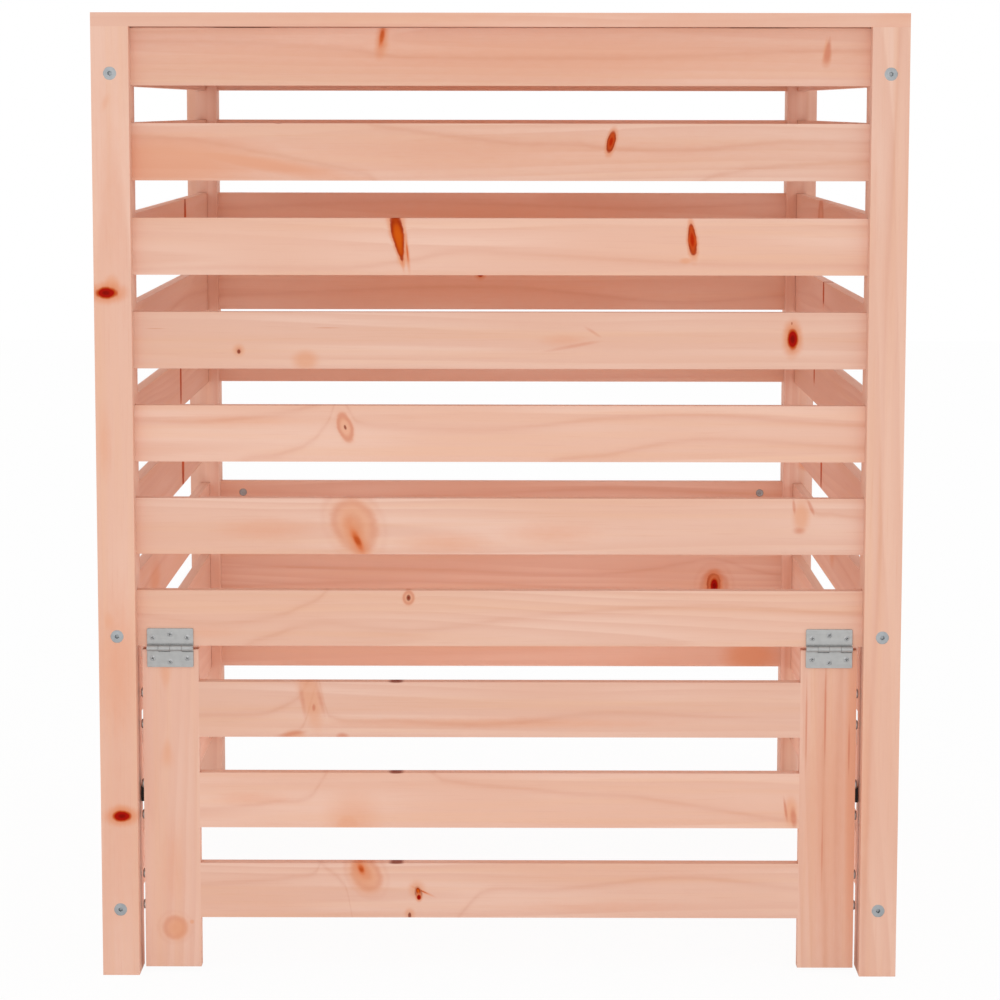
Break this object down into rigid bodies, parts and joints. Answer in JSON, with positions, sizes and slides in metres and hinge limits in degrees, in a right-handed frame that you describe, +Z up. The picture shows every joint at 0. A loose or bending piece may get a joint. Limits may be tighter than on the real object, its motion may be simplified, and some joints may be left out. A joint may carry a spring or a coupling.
{
  "type": "compost bin",
  "caption": "Square slatted wooden compost bin with corner posts, a flap door hinged above the lower front rows, flush bolts and a boarded lid that hinges at the back.",
  "frame": {"origin": "on the ground, under the middle of the square of posts", "axes": "+Z up, the door's front faces -Y, left seen from the front is -X"},
  "size_m": [0.825, 0.825, 1.001],
  "materials": {
    "post_wood": "planed, untreated softwood",
    "front_wood": "planed, untreated softwood",
    "back_wood": "planed, untreated softwood",
    "side_wood": "planed, untreated softwood",
    "stile_wood": "planed, untreated softwood",
    "door_wood": "planed, untreated softwood",
    "lid_wood": "planed, untreated softwood",
    "batten_wood": "planed, untreated softwood",
    "bolt_steel": "zinc plated",
    "hinge_steel": "galvanised, dull",
    "screw_steel": "zinc plated",
    "catch_plastic": "moulded, matt",
    "magnet": "bare magnet"
  },
  "bodies": {
    "frame": {"front_left_post": "post_wood", "front_right_post": "post_wood", "back_left_post": "post_wood", "back_right_post": "post_wood", "front_top_rail": "front_wood", "front_slat_2": "front_wood", "front_slat_3": "front_wood", "front_slat_4": "front_wood", "front_slat_5": "front_wood", "front_slat_6": "front_wood", "front_middle_rail": "front_wood", "back_top_rail": "back_wood", "back_middle_rail": "back_wood", "back_bottom_rail": "back_wood", "back_slats": "back_wood", "left_top_rail": "side_wood", "left_middle_rail": "side_wood", "left_bottom_rail": "side_wood", "left_slats": "side_wood", "right_top_rail": "side_wood", "right_middle_rail": "side_wood", "right_bottom_rail": "side_wood", "right_slats": "side_wood", "lid_back_board": "lid_wood", "panel_bolts": "bolt_steel", "barrel_nuts": "bolt_steel", "door_hinge_fixed_leaves": "hinge_steel", "door_hinge_pins": "hinge_steel", "lid_hinge_fixed_leaves": "hinge_steel", "lid_hinge_pins": "hinge_steel", "frame_hinge_screws": "screw_steel", "back_board_screws": "screw_steel", "catch_screws": "screw_steel", "catch_bodies": "catch_plastic", "catch_magnets": "magnet"},
    "door": {"door_left_stile": "stile_wood", "door_right_stile": "stile_wood", "door_top_slat": "door_wood", "door_middle_slat": "door_wood", "door_bottom_slat": "door_wood", "door_hinge_swing_leaves": "hinge_steel", "door_hinge_screws": "screw_steel", "strike_screws": "screw_steel", "door_slat_screws": "screw_steel", "catch_strikes": "hinge_steel"},
    "lid": {"lid_board_1": "lid_wood", "lid_board_2": "lid_wood", "lid_board_3": "lid_wood", "lid_board_4": "lid_wood", "lid_board_5": "lid_wood", "lid_board_6": "lid_wood", "lid_board_7": "lid_wood", "lid_left_batten": "batten_wood", "lid_right_batten": "batten_wood", "lid_hinge_swing_leaves": "hinge_steel", "lid_hinge_screws": "screw_steel", "batten_screws": "screw_steel"}
  },
  "joints": [
    {"name": "door_hinge", "type": "hinge", "parent": "frame", "child": "door", "pos_m": [0, -0.4025, 0.344], "axis": [-1, 0, 0], "range_deg": [0, 180]},
    {"name": "lid_hinge", "type": "hinge", "parent": "frame", "child": "lid", "pos_m": [0, 0.3105, 0.998], "axis": [-1, 0, 0], "range_deg": [0, 180]}
  ]
}
